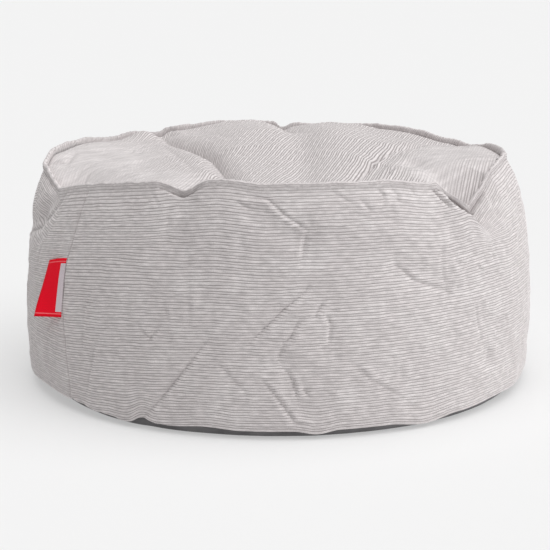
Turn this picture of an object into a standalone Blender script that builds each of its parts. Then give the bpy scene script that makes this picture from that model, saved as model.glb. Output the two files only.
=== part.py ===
"""A round, bead-filled floor pouf covered in wide-rib corduroy.

Metres, +Z up. The origin is on the floor under the middle, and the front faces -Y.
Angles are in degrees round the pouf, from 0 at the front towards +X at 90.

The cover is a side band, a top panel and a base panel. The band and the top panel are joined
by a turned, topstitched seam that stands up round the rim. The bead filling and the band that
holds it are one filled solid, and the other panels lie on it.
"""

from collections import namedtuple

import bpy
import numpy as np

# Driving dimensions
BELLY_RADIUS = 0.403
RIM_RADIUS = 0.358
RIM_HEIGHT = 0.3575
HEM_HEIGHT = 0.013
BASE_FLAT_RADIUS = 0.369
BASE_CURL = 0.0175

# The standing seam round the rim
SEAM_HEIGHT = 0.0105
SEAM_THICKNESS = 0.006
SEAM_LEAN = 0.0015

# Cloth
CLOTH = 0.0025
BASE_CLOTH = 0.002
GAP = 0.0004

# Shares of a thickness by which the inside of the base panel's lip steps in and up
LIP_FLAT_SHIFT = 0.6
LIP_CURL_SHIFT = 0.7

# Middle level of the top, and how far the cloth puffs up behind the seam
TOP_LEVEL = 0.3420
PUFF = 0.006
PUFF_REACH = 0.024
PUFF_END = 0.12
RIM_REACH = 0.075

# The sewn-in label at the left
LABEL_ANGLE_TOP = -51.2
LABEL_ANGLE_FOOT = -52.2
LABEL_TOP = 0.234
LABEL_LENGTH = 0.092
LABEL_WIDTH = 0.040
LABEL_THICKNESS = 0.0012
LABEL_STANDOFF = 0.0012
LABEL_LIFT_TOP = 4.0
LABEL_LIFT_FOOT = 34.0

# Mesh steps
FRONT_STEP = 3.6
BACK_STEP = 6.0
FRONT_HALF = 100.0
LEAST_STEP = 0.9
PINCH_SHARES = (0.0, 0.22, 0.45, 0.7, 1.0)
WALL_ROWS = 15
ROW_CROWDING = 1.35
TOP_RINGS = (0.955, 0.9, 0.83, 0.75, 0.66, 0.56, 0.45, 0.33, 0.2, 0.09)

# The band's outline, as a share of its height and of the belly's radius
Station = namedtuple("Station", "share radius")
WALL_PROFILE = (
    Station(0.00, 0.9815),
    Station(0.03, 0.9880),
    Station(0.09, 0.9935),
    Station(0.20, 0.9985),
    Station(0.34, 1.0000),
    Station(0.56, 0.9910),
    Station(0.71, 0.9780),
    Station(0.83, 0.9560),
    Station(0.92, 0.9310),
    Station(1.00, 0.8960),
)

# Where the rim is gathered down and in. The widths are on its two sides, and a pointed pinch is a V.
Pinch = namedtuple("Pinch", "angle width_before width_after drop tuck pointed")
PINCHES = (
    Pinch(-65.6, 13.8, 38.8, 0.0392, 0.000, 0.86),
    Pinch(-21.5, 6.9, 5.8, 0.0127, 0.006, 0.53),
    Pinch(52.8, 14.0, 9.4, 0.0540, 0.006, 0.96),
    Pinch(113.2, 12.6, 10.7, 0.0097, 0.004, 0.22),
    Pinch(178.5, 3.4, 2.8, 0.0073, 0.003, 0.00),
    Pinch(-143.9, 3.5, 10.8, 0.0071, 0.003, 0.06),
    Pinch(-126.9, 12.9, 11.9, 0.0071, 0.001, 0.07),
)

# Slow rises and falls of the rim, of its radius, of the cloth just inside it and of the lower hem
Wave = namedtuple("Wave", "angle width height")
RIM_WAVES = (
    Wave(-53.4, 17.5, 0.0046),
    Wave(-40.0, 14.0, 0.0023),
    Wave(-12.6, 10.8, 0.0066),
    Wave(11.9, 27.0, 0.0024),
    Wave(37.7, 13.7, -0.0084),
    Wave(61.0, 7.8, -0.0068),
    Wave(75.6, 9.8, 0.0058),
    Wave(125.0, 14.3, -0.0073),
    Wave(150.0, 19.4, 0.0045),
    Wave(-167.0, 21.9, 0.0064),
    Wave(-82.1, 11.3, -0.0125),
)
RIM_BULGES = (
    Wave(-80.0, 19.0, 0.0090),
)
RIM_PUFFS = (
    Wave(-137.0, 11.0, 0.0050),
    Wave(-55.0, 22.0, 0.0050),
    Wave(101.0, 12.0, 0.0040),
    Wave(161.0, 16.0, 0.0060),
    Wave(-165.0, 14.0, 0.0060),
)
HEM_WAVES = (
    Wave(-62.0, 15.0, 0.0080),
    Wave(-45.5, 6.0, 0.0070),
    Wave(-33.5, 5.0, -0.0040),
    Wave(-29.0, 3.6, 0.0060),
    Wave(-15.0, 8.0, 0.0055),
    Wave(8.0, 5.0, -0.0050),
    Wave(32.0, 9.0, -0.0060),
    Wave(56.0, 14.0, 0.0060),
    Wave(76.0, 14.0, 0.0080),
    Wave(110.0, 12.0, 0.0050),
    Wave(150.0, 14.0, 0.0045),
    Wave(-160.0, 10.0, -0.0040),
    Wave(-120.0, 16.0, 0.0060),
    Wave(-88.0, 9.0, 0.0050),
)

# Troughs across the band, from one angle and height to another, by depth and half width
Fold = namedtuple("Fold", "angle height to_angle to_height depth width")
SIDE_FOLDS = (
    Fold(-62.0, 0.318, -67.0, 0.275, 0.007, 0.018),
    Fold(-67.0, 0.275, -84.0, 0.238, 0.006, 0.018),
    Fold(43.0, 0.332, 52.0, 0.278, 0.010, 0.020),
    Fold(-21.5, 0.330, -23.0, 0.268, 0.005, 0.022),
    Fold(-6.0, 0.325, 6.0, 0.280, 0.005, 0.020),
    Fold(5.5, 0.211, -7.0, 0.132, 0.005, 0.020),
    Fold(9.5, 0.195, 10.0, 0.135, 0.004, 0.020),
    Fold(0.5, 0.123, 4.0, 0.050, 0.004, 0.020),
    Fold(-14.5, 0.138, -29.0, 0.018, 0.006, 0.022),
    Fold(24.5, 0.246, 37.0, 0.198, 0.005, 0.022),
    Fold(-44.5, 0.180, -45.5, 0.090, 0.003, 0.020),
    Fold(49.0, 0.150, 50.5, 0.085, 0.004, 0.022),
    Fold(100.0, 0.300, 112.0, 0.190, 0.006, 0.028),
    Fold(132.0, 0.200, 148.0, 0.090, 0.006, 0.028),
    Fold(165.0, 0.310, 176.0, 0.220, 0.006, 0.028),
    Fold(-158.0, 0.240, -172.0, 0.120, 0.006, 0.028),
    Fold(-143.0, 0.335, -134.0, 0.250, 0.006, 0.026),
    Fold(-120.0, 0.180, -108.0, 0.070, 0.006, 0.028),
    Fold(-97.0, 0.300, -93.0, 0.220, 0.005, 0.026),
)

# Puffs of the top, in plan, and its valleys along paths, by depth and half width
Lobe = namedtuple("Lobe", "x y half_x half_y height")
LOBES = (
    Lobe(-0.290, -0.150, 0.090, 0.120, -0.006),
    Lobe(-0.243, 0.232, 0.048, 0.045, 0.012),
    Lobe(-0.045, 0.150, 0.080, 0.200, 0.026),
    Lobe(0.095, 0.100, 0.080, 0.220, 0.026),
    Lobe(0.245, -0.125, 0.085, 0.130, 0.010),
    Lobe(0.280, 0.030, 0.070, 0.100, 0.004),
)
Valley = namedtuple("Valley", "path depth width")
VALLEYS = (
    Valley(((-0.217, 0.330), (-0.157, 0.115), (-0.100, -0.030), (-0.070, -0.210), (-0.056, -0.340)),
           0.018, 0.033),
    Valley(((0.012, 0.350), (0.020, 0.180)), 0.010, 0.030),
    Valley(((0.030, 0.240), (0.040, 0.000), (0.038, -0.330)), 0.007, 0.032),
    Valley(((0.222, 0.090), (0.180, -0.005), (0.141, -0.165), (0.106, -0.320)), 0.009, 0.027),
    Valley(((0.273, -0.226), (0.205, -0.130)), 0.010, 0.026),
    Valley(((-0.131, -0.333), (-0.112, -0.240)), 0.008, 0.028),
    Valley(((0.320, 0.165), (0.270, 0.150)), 0.007, 0.028),
)

TAUPE_CORD = (0.49, 0.455, 0.455)
DARK_BASE = (0.115, 0.112, 0.115)
LABEL_RED = (0.52, 0.012, 0.024)


def cos_hump(x):
    """1 at 0, falling smoothly to 0 at -1 and 1."""
    return np.where(np.abs(x) < 1.0, np.cos(np.pi * np.clip(x, -1, 1) / 2) ** 2, 0.0)


def turned(angle, centre):
    """The angle from centre to angle, between -180 and 180 degrees."""
    return (np.asarray(angle, float) - centre + 180.0) % 360.0 - 180.0


def smooth_table(x, table):
    """A smooth curve through a table's rows that doesn't overshoot them."""
    xs, ys = np.array(table, float).T
    slopes = np.diff(ys) / np.diff(xs)
    before, after = slopes[:-1], slopes[1:]
    same_way = before * after > 0
    inner = np.where(same_way, 2 * before * after / np.where(same_way, before + after, 1), 0)
    ends = np.concatenate([[slopes[0]], inner, [slopes[-1]]])
    i = np.clip(np.searchsorted(xs, x, side="right") - 1, 0, len(xs) - 2)
    width = xs[i + 1] - xs[i]
    t = np.clip((x - xs[i]) / width, 0, 1)
    rest = 1 - t
    value = ys[i] * (1 + 2 * t) * rest**2 + ys[i + 1] * (1 + 2 * rest) * t**2
    return value + width * (ends[i] * t * rest**2 - ends[i + 1] * rest * t**2)


def waves(angle, table):
    return sum(w.height * cos_hump(turned(angle, w.angle) / w.width) for w in table)


def pinch_shape(angle, pinch):
    """How much of a pinch acts at an angle, from 0 to 1."""
    away = turned(angle, pinch.angle)
    x = away / np.where(away < 0, pinch.width_before, pinch.width_after)
    tent = np.clip(1 - np.abs(x), 0, 1)
    return (1 - pinch.pointed) * cos_hump(x) + pinch.pointed * tent


def rim_height(angle):
    """Height of the standing seam's top edge."""
    drop = sum(p.drop * pinch_shape(angle, p) for p in PINCHES)
    return RIM_HEIGHT + waves(angle, RIM_WAVES) - drop


def rim_radius(angle):
    """Radius of the standing seam's middle."""
    tuck = sum(p.tuck * pinch_shape(angle, p) for p in PINCHES)
    return RIM_RADIUS + waves(angle, RIM_BULGES) - tuck


def seam_foot(angle):
    return rim_height(angle) - SEAM_HEIGHT


def hem_height(angle):
    return HEM_HEIGHT + waves(angle, HEM_WAVES)


def distance_to_path(x, y, path):
    """Distance of points from the nearest of the straight runs of a path."""
    nearest = np.inf
    for start, end in zip(np.array(path[:-1], float), np.array(path[1:], float)):
        along = end - start
        share = ((x - start[0]) * along[0] + (y - start[1]) * along[1]) / (along @ along)
        share = np.clip(share, 0, 1)
        away = np.hypot(x - start[0] - share * along[0], y - start[1] - share * along[1])
        nearest = np.minimum(nearest, away)
    return nearest


def side_folds(angle, height):
    """Depth of the band's troughs at a point, measured along the cloth."""
    arc = np.radians(1.0) * BELLY_RADIUS
    depth = 0.0
    for f in SIDE_FOLDS:
        x = turned(angle, f.angle) * arc
        end = (turned(f.to_angle, f.angle) * arc, f.to_height)
        away = distance_to_path(x, height, ((0.0, f.height), end))
        depth = depth + f.depth * np.exp(-((away / f.width) ** 2))
    return depth


def wall_radius(angle, share, height):
    """Radius of the band, at a share of the way from its hem up to the seam."""
    profile = smooth_table(share, WALL_PROFILE) * BELLY_RADIUS
    top_radius = rim_radius(angle) + SEAM_THICKNESS / 2
    pulled = top_radius - WALL_PROFILE[-1].radius * BELLY_RADIUS
    fade = np.clip(share, 0, 1) ** 6
    away_from_edges = np.clip(share * 8, 0, 1) * np.clip((1 - share) * 12, 0, 1)
    return profile + pulled * fade - side_folds(angle, height) * away_from_edges


def top_height(x, y):
    """Height of the top panel's upper face at a point in plan."""
    radius = np.hypot(x, y)
    angle = np.degrees(np.arctan2(x, -y))
    inward = np.maximum(rim_radius(angle) - SEAM_THICKNESS / 2 - radius, 0)
    settled = np.clip(inward / RIM_REACH, 0, 1)
    level = seam_foot(angle) + (TOP_LEVEL - seam_foot(angle)) * settled**2 * (3 - 2 * settled)
    rim_puff = waves(angle, RIM_PUFFS)
    past_puff = np.clip(inward / PUFF_END, 0, 1)
    puff = (PUFF + rim_puff) * (1 - np.exp(-inward / PUFF_REACH))
    puff = puff - rim_puff * past_puff**2 * (3 - 2 * past_puff)
    lobes = 0.0
    for lobe in LOBES:
        reach = ((x - lobe.x) / lobe.half_x) ** 2 + ((y - lobe.y) / lobe.half_y) ** 2
        lobes = lobes + lobe.height * np.exp(-reach)
    valleys = 0.0
    for v in VALLEYS:
        away = distance_to_path(x, y, v.path)
        valleys = valleys + v.depth * np.exp(-((away / v.width) ** 2))
    away_from_rim = 1 - np.exp(-((inward / PUFF_REACH) ** 2))
    return level + puff + (lobes - valleys) * away_from_rim


def column_angles():
    """Angles of the mesh's columns: even steps, finer on the front half and finest in the pinches."""
    fixed = []
    for p in PINCHES:
        for share in PINCH_SHARES:
            fixed += [p.angle - share * p.width_before, p.angle + share * p.width_after]
    fixed = sorted(float(turned(angle, 0.0)) for angle in fixed)
    filled = []
    for here, after in zip(fixed, fixed[1:] + [fixed[0] + 360.0]):
        middle = abs(turned((here + after) / 2, 0.0))
        step = FRONT_STEP if middle < FRONT_HALF else BACK_STEP
        count = max(1, round((after - here) / step))
        filled += [here + (after - here) * i / count for i in range(count)]
    kept = [filled[0]]
    for angle in filled[1:]:
        if angle - kept[-1] > LEAST_STEP and kept[0] + 360.0 - angle > LEAST_STEP:
            kept.append(angle)
    return np.array(kept)


COLUMNS = column_angles()


def ring(radius, height):
    """Points round the pouf, one for each column."""
    radius = np.broadcast_to(radius, COLUMNS.shape)
    turn = np.radians(COLUMNS)
    height = np.broadcast_to(height, COLUMNS.shape)
    return np.stack([radius * np.sin(turn), -radius * np.cos(turn), height], axis=1)


def shell_mesh(name, rings, first_point=None, last_point=None, closed=False):
    """A mesh of rings, joined in order by triangles. A point caps each end, or the last ring
    joins the first. Each square is cut from its outer corner on the first column or its inner
    corner, whichever keeps two panels that lie on each other cut the same way."""
    count = len(COLUMNS)
    points = np.concatenate(rings)
    faces = []
    pairs = [(i, i + 1) for i in range(len(rings) - 1)]
    if closed:
        pairs.append((len(rings) - 1, 0))
    reach = [np.hypot(r[:, 0], r[:, 1]).mean() for r in rings]
    for low, high in pairs:
        outwards = reach[high] > reach[low]
        for i in range(count):
            j = (i + 1) % count
            a, b = low * count + i, low * count + j
            c, d = high * count + j, high * count + i
            faces += [(a, b, c), (a, c, d)] if outwards else [(a, b, d), (b, c, d)]
    if not closed:
        first = len(points)
        points = np.concatenate([points, [first_point, last_point]])
        top = (len(rings) - 1) * count
        for i in range(count):
            j = (i + 1) % count
            faces += [(first, j, i), (first + 1, top + i, top + j)]
    mesh = bpy.data.meshes.new(name)
    mesh.from_pydata([tuple(p) for p in points], [], faces)
    mesh.validate()
    return mesh


def add_object(name, mesh, material):
    node = bpy.data.objects.new(name, mesh)
    mesh.materials.append(material)
    mesh.shade_smooth()
    mesh.set_sharp_from_angle(angle=np.radians(50))
    bpy.context.scene.collection.objects.link(node)
    return node


def cloth_material(name, colour, roughness):
    material = bpy.data.materials.new(name)
    material.use_nodes = True
    shader = material.node_tree.nodes["Principled BSDF"]
    shader.inputs["Base Color"].default_value = (*colour, 1.0)
    shader.inputs["Roughness"].default_value = roughness
    shader.inputs["Metallic"].default_value = 0.0
    return material


def panel_edge_radius():
    """Radius of the top panel's edge, just inside the standing seam."""
    return rim_radius(COLUMNS) - SEAM_THICKNESS / 2 - GAP


def top_rings(drop):
    """Rings over the top from its edge inwards, a drop below the panel's upper face."""
    rings = []
    for share in (1.0, *TOP_RINGS):
        flat = ring(panel_edge_radius() * share, 0.0)
        flat[:, 2] = top_height(flat[:, 0], flat[:, 1]) - drop
        rings.append(flat)
    centre = np.array([0.0, 0.0, float(top_height(0.0, 0.0)) - drop])
    return rings, centre


def base_lip():
    """The base panel's outer face, as radius and height from the floor up to the hem."""
    hem = hem_height(COLUMNS) - GAP
    return (
        (BASE_FLAT_RADIUS, 0.0),
        (BASE_FLAT_RADIUS + 0.7 * BASE_CURL, 0.3 * hem),
        (BASE_FLAT_RADIUS + BASE_CURL, hem),
    )


def filled_body():
    """The side band and the beads it holds, from the base panel up to the top panel."""
    bottom = BASE_CLOTH + GAP
    hem = hem_height(COLUMNS)
    wall_top = seam_foot(COLUMNS) - GAP
    flat, curl, edge = (radius for radius, _ in base_lip())
    curl_height = base_lip()[1][1]
    rings = [
        ring(flat * 0.5, bottom),
        ring(flat - bottom * LIP_FLAT_SHIFT, bottom),
        ring(curl - bottom, curl_height + bottom * LIP_CURL_SHIFT),
        ring(edge - bottom, hem),
    ]
    for row in range(WALL_ROWS + 1):
        share = 1 - (1 - row / WALL_ROWS) ** ROW_CROWDING
        height = hem + (wall_top - hem) * share
        rings.append(ring(wall_radius(COLUMNS, share, height), height))
    over_top, centre = top_rings(CLOTH + GAP)
    rings += over_top
    start = np.array([0.0, 0.0, bottom])
    return shell_mesh("filled_body", rings, first_point=start, last_point=centre)


def top_panel():
    """The sheet of corduroy that lies over the beads inside the standing seam."""
    upper, upper_centre = top_rings(0.0)
    lower, lower_centre = top_rings(CLOTH)
    rings = lower[::-1] + upper
    return shell_mesh("top_panel", rings, first_point=lower_centre, last_point=upper_centre)


def base_panel():
    """The dark cloth base: flat on the floor, turned up at its edge to the side band's hem."""
    lip = base_lip()
    outer = [ring(BASE_FLAT_RADIUS * 0.5, 0.0)] + [ring(r, z) for r, z in lip]
    inner = [
        ring(lip[2][0] - BASE_CLOTH, lip[2][1]),
        ring(lip[1][0] - BASE_CLOTH, lip[1][1] + BASE_CLOTH * LIP_CURL_SHIFT),
        ring(BASE_FLAT_RADIUS - BASE_CLOTH * LIP_FLAT_SHIFT, BASE_CLOTH),
        ring(BASE_FLAT_RADIUS * 0.5, BASE_CLOTH),
    ]
    floor_centre = np.array([0.0, 0.0, 0.0])
    inner_centre = np.array([0.0, 0.0, BASE_CLOTH])
    return shell_mesh("base_panel", outer + inner, floor_centre, inner_centre)


def rim_seam():
    """The turned and topstitched edges of the band and the top panel, standing up as a ridge."""
    half = SEAM_THICKNESS / 2
    outline = (
        (-half, -0.2),
        (half, 0.0),
        (half * 0.95, 0.60),
        (half * 0.55, 0.93),
        (-half * 0.45, 1.0),
        (-half * 0.9, 0.72),
    )
    middle, foot = rim_radius(COLUMNS), seam_foot(COLUMNS)
    rings = []
    for out, up in outline:
        rings.append(ring(middle + out + SEAM_LEAN * up, foot + SEAM_HEIGHT * up))
    return shell_mesh("rim_seam", rings, closed=True)


def label_row(share):
    """The label's attached corner, its direction outwards and the band's outward direction at a
    share of the way down its length."""
    angle = LABEL_ANGLE_TOP + (LABEL_ANGLE_FOOT - LABEL_ANGLE_TOP) * share
    height = LABEL_TOP - LABEL_LENGTH * share
    hem, foot = hem_height(angle), seam_foot(angle)
    radius = float(wall_radius(angle, (height - hem) / (foot - hem), height))
    turn = np.radians(angle)
    outward = np.array([np.sin(turn), -np.cos(turn), 0.0])
    along = np.array([-np.cos(turn), -np.sin(turn), 0.0])
    lift = np.radians(LABEL_LIFT_TOP + (LABEL_LIFT_FOOT - LABEL_LIFT_TOP) * share**1.4)
    corner = outward * (radius + LABEL_STANDOFF) + np.array([0.0, 0.0, height])
    return corner, along * np.cos(lift) + outward * np.sin(lift), outward, radius


def label():
    """A woven tag caught in the band's upright seam. It hugs the band at its top and lifts off it
    at its foot."""
    rows, columns = 8, 5
    front, back = [], []
    for i in range(rows + 1):
        corner, direction, outward, radius = label_row(i / rows)
        for j in range(columns + 1):
            reach = LABEL_WIDTH * j / columns
            hug = -(reach**2) / (2 * radius) * (1 - i / rows)
            point = corner + direction * reach + outward * hug
            thick = np.cross(direction, (0.0, 0.0, 1.0))
            thick = thick / np.linalg.norm(thick) * LABEL_THICKNESS
            back.append(point)
            front.append(point + (thick if thick @ outward > 0 else -thick))
    return grid_slab("label", np.array(back), np.array(front), rows, columns)


def grid_slab(name, back, front, rows, columns):
    """A closed slab between two grids of points."""
    points = np.concatenate([back, front])
    offset = len(back)
    width = columns + 1
    faces = []
    for i in range(rows):
        for j in range(columns):
            a, b = i * width + j, i * width + j + 1
            c, d = b + width, a + width
            faces += [(a, c, b), (a, d, c)]
            faces += [(offset + a, offset + b, offset + c), (offset + a, offset + c, offset + d)]
    edge = list(range(columns))
    edge += [i * width + columns for i in range(rows)]
    edge += [rows * width + j for j in range(columns, 0, -1)]
    edge += [i * width for i in range(rows, 0, -1)]
    for here, after in zip(edge, edge[1:] + edge[:1]):
        faces += [(here, after, offset + after), (here, offset + after, offset + here)]
    mesh = bpy.data.meshes.new(name)
    mesh.from_pydata([tuple(p) for p in points], [], faces)
    mesh.validate()
    return mesh


def main():
    for old in list(bpy.data.objects):
        bpy.data.objects.remove(old)
    cord = cloth_material("taupe_corduroy", TAUPE_CORD, 0.9)
    base = cloth_material("dark_base_cloth", DARK_BASE, 0.85)
    red = cloth_material("red_label", LABEL_RED, 0.7)
    add_object("filled_body", filled_body(), cord)
    add_object("top_panel", top_panel(), cord)
    add_object("rim_seam", rim_seam(), cord)
    add_object("base_panel", base_panel(), base)
    add_object("label", label(), red)


main()
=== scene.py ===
"""A round floor pouf in pale wide-rib corduroy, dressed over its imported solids.

Metres, +Z up, the front facing -Y. Angles are in degrees round the pouf, from 0 at the front towards
+X at 90. The ribs of the side band run round the pouf and those of the top run straight across it.
Both are real relief: each mesh has its rows along the ribs.
"""

from collections import namedtuple

import bpy
import numpy as np
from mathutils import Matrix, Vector


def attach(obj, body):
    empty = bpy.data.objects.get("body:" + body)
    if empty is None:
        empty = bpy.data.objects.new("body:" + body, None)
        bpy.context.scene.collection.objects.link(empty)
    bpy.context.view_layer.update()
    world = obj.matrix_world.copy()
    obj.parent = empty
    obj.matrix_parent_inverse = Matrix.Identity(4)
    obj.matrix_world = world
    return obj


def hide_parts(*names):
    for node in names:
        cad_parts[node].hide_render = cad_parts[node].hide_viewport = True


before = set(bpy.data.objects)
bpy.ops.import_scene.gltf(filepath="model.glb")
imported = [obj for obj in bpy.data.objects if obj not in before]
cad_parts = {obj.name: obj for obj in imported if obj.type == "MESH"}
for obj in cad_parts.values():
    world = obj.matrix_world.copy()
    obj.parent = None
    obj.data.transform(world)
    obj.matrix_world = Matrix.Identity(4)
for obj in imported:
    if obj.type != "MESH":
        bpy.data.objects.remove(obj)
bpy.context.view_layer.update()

# Sizes of the pouf. The solids have the same ones, but for the base cloth's two, which were fitted to
# the photo once more, as the hem's waves and the label were.
BELLY_RADIUS = 0.403
RIM_RADIUS = 0.358
RIM_HEIGHT = 0.3575
HEM_HEIGHT = 0.013
BASE_FLAT_RADIUS = 0.375
BASE_CURL = 0.0125
SEAM_HEIGHT = 0.0105
SEAM_THICKNESS = 0.006
SEAM_LEAN = 0.0015
TOP_LEVEL = 0.3420
PUFF = 0.006
PUFF_REACH = 0.024
PUFF_END = 0.12
RIM_REACH = 0.075

# Metres round the belly for each degree
ARC = np.radians(1.0) * BELLY_RADIUS

# Corduroy: wide and narrow ribs by turns. A repeat is one of each, and its steps are shares of it.
REPEATS = 42
WIDE_SHARE = 0.57
NARROW_HEIGHT = 1.05
WIDE_FLATNESS, NARROW_FLATNESS = 7.0, 4.0
RIB_STEPS = (0.0, 0.06, 0.15, 0.42, 0.51, 0.57, 0.65, 0.92)
RIB_RELIEF = 0.0011
TOP_RIB_RELIEF = 0.0015
TOP_PITCH = 0.0083
TOP_RIB_ANGLE = 78.0
TOP_LINE_POINTS = 140

# Uneven ribs and slack cloth: noise of a height, with a bump for each step across and up, from a start
Ripple = namedtuple("Ripple", "height across up start")
RIB_WANDER = (
    Ripple(0.035, 6.0, 1.5, 0),
    Ripple(0.060, 2.2, 0.85, 9),
)
SIDE_SLACK = (
    Ripple(0.0012, 3.1, 0.022, 40),
    Ripple(0.0007, 1.3, 0.011, 70),
)
TOP_SLACK = (
    Ripple(0.0012, 0.030, 0.030, 50),
    Ripple(0.0006, 0.012, 0.012, 20),
)

# The band's two upright seams: the groove, the cloth puffed up beside it, the line of painted shade
# along the groove, and where the ribs begin
SEAM_ANGLES = (-50.0, 130.0)
SEAM_DEPTH, SEAM_WIDTH = 0.0038, 0.0015
SEAM_PUFF, SEAM_PUFF_PLACE, SEAM_PUFF_WIDTH = 0.0012, 0.006, 0.004
SEAM_DARK, SEAM_DARK_WIDTH = 2.0, 0.0014
SEAM_RIBS_FROM = 0.003

# How far the front one sways, in degrees, by share of the height, and how far round the cloth follows
SEAM_SWAY = (
    (0.00, 0.0),
    (0.12, -0.35),
    (0.26, -1.0),
    (0.45, -1.9),
    (0.58, -1.5),
    (0.70, -0.5),
    (0.80, 0.0),
    (1.00, 0.0),
)
SEAM_SWAY_REACH = 0.035

# The columns of the band's two panels: steps in metres, finer where the photo shows them, and the
# distances of the extra ones beside a seam
Columns = namedtuple("Columns", "start end fine_from fine_to fine coarse")
RIGHT_COLUMNS = Columns(SEAM_ANGLES[0], SEAM_ANGLES[1], SEAM_ANGLES[0], 62.0, 0.0036, 0.0072)
LEFT_COLUMNS = Columns(SEAM_ANGLES[1] - 360.0, SEAM_ANGLES[0], -96.0, SEAM_ANGLES[0], 0.0038, 0.0074)
COLUMNS_BESIDE_SEAM = (0.0009, 0.0020)

# How many repeats the hem cuts off the right-hand panel by angle, so that its ribs meet the front seam
# aslant. The cut fades out over some repeats, and its ribs are squeezed together at the hem.
HEM_CUT = (
    (-50.0, 3.0),
    (-44.0, 2.4),
    (-38.0, 1.75),
    (-32.0, 1.15),
    (-26.0, 0.65),
    (-20.0, 0.30),
    (-12.0, 0.05),
    (-6.0, 0.0),
)
CUT_FADE_FROM, CUT_FADE_OVER = 24.0, 12.0
CUT_SQUEEZE = 0.07

# The band's radius, as a share of the belly's, by share of its height
Station = namedtuple("Station", "share radius")
WALL_PROFILE = (
    Station(0.00, 0.9860),
    Station(0.03, 0.9925),
    Station(0.09, 0.9960),
    Station(0.20, 0.9985),
    Station(0.34, 1.0000),
    Station(0.56, 0.9910),
    Station(0.71, 0.9780),
    Station(0.83, 0.9560),
    Station(0.92, 0.9310),
    Station(1.00, 0.8960),
)

# Where the rim is gathered down and in. Lean holds (share of the height, degrees) rows by which the
# pinch's middle moves round the pouf. The ribs of the band follow a pinch down from the share of the
# height in follow. Where tucked is 1, they run level instead and pass out of sight under the seam.
Pinch = namedtuple("Pinch", "angle width_before width_after drop tuck pointed lean follow tucked")
UPRIGHT = ((0.0, 0.0), (1.0, 0.0))
LEFT_LEAN = (
    (0.00, -20.0),
    (0.60, -15.0),
    (0.71, -7.5),
    (0.75, -2.0),
    (0.80, 2.0),
    (0.86, 4.2),
    (0.92, 4.6),
    (1.00, 0.0),
)
PINCHES = (
    Pinch(-65.6, 13.8, 38.8, 0.0392, 0.000, 0.86, LEFT_LEAN, 0.10, 0),
    Pinch(-21.5, 6.9, 5.8, 0.0130, 0.006, 0.36, UPRIGHT, 0.70, 1),
    Pinch(52.8, 14.0, 9.4, 0.0540, 0.006, 0.96, UPRIGHT, 0.68, 1),
    Pinch(113.2, 12.6, 10.7, 0.0097, 0.004, 0.22, UPRIGHT, 0.50, 0),
    Pinch(178.5, 3.4, 2.8, 0.0073, 0.003, 0.00, UPRIGHT, 0.60, 0),
    Pinch(-143.9, 3.5, 10.8, 0.0071, 0.003, 0.06, UPRIGHT, 0.60, 0),
    Pinch(-126.9, 12.9, 11.9, 0.0071, 0.001, 0.07, UPRIGHT, 0.60, 0),
)

# Soft bumps by angle: each reaches its width to both sides. Those of the rim act on the band from one
# share of its height up, and those of the hem up to another.
Wave = namedtuple("Wave", "angle width height")
RIM_WAVES_FROM, HEM_WAVES_TO = 0.4, 0.22
RIM_WAVES = (
    Wave(-53.4, 17.5, 0.0046),
    Wave(-40.0, 14.0, 0.0023),
    Wave(-12.6, 10.8, 0.0066),
    Wave(11.9, 27.0, 0.0024),
    Wave(37.7, 13.7, -0.0084),
    Wave(61.0, 7.8, -0.0068),
    Wave(75.6, 9.8, 0.0058),
    Wave(125.0, 14.3, -0.0073),
    Wave(150.0, 19.4, 0.0045),
    Wave(-167.0, 21.9, 0.0064),
    Wave(-82.1, 11.3, -0.0125),
)
RIM_BULGES = (
    Wave(-80.0, 19.0, 0.0090),
)
RIM_PUFFS = (
    Wave(-137.0, 11.0, 0.0050),
    Wave(-55.0, 22.0, 0.0050),
    Wave(101.0, 12.0, 0.0040),
    Wave(161.0, 16.0, 0.0060),
    Wave(-165.0, 14.0, 0.0060),
)
BELLY_WAVES = (
    Wave(-92.0, 36.0, -0.0026),
    Wave(88.0, 34.0, 0.0007),
)
HEM_WAVES = (
    Wave(-62.0, 22.0, 0.0095),
    Wave(-47.0, 6.0, 0.0035),
    Wave(-33.5, 5.0, -0.0040),
    Wave(-29.0, 3.6, 0.0060),
    Wave(-15.0, 8.0, 0.0038),
    Wave(8.0, 5.0, -0.0050),
    Wave(32.0, 9.0, -0.0066),
    Wave(56.0, 14.0, 0.0036),
    Wave(76.0, 14.0, 0.0055),
    Wave(110.0, 12.0, 0.0050),
    Wave(150.0, 14.0, 0.0045),
    Wave(-160.0, 10.0, -0.0040),
    Wave(-120.0, 16.0, 0.0060),
    Wave(-88.0, 9.0, 0.0050),
)
BASE_TUCKS = (
    Wave(-62.0, 32.0, 0.0110),
    Wave(82.0, 24.0, 0.0050),
)

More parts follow.
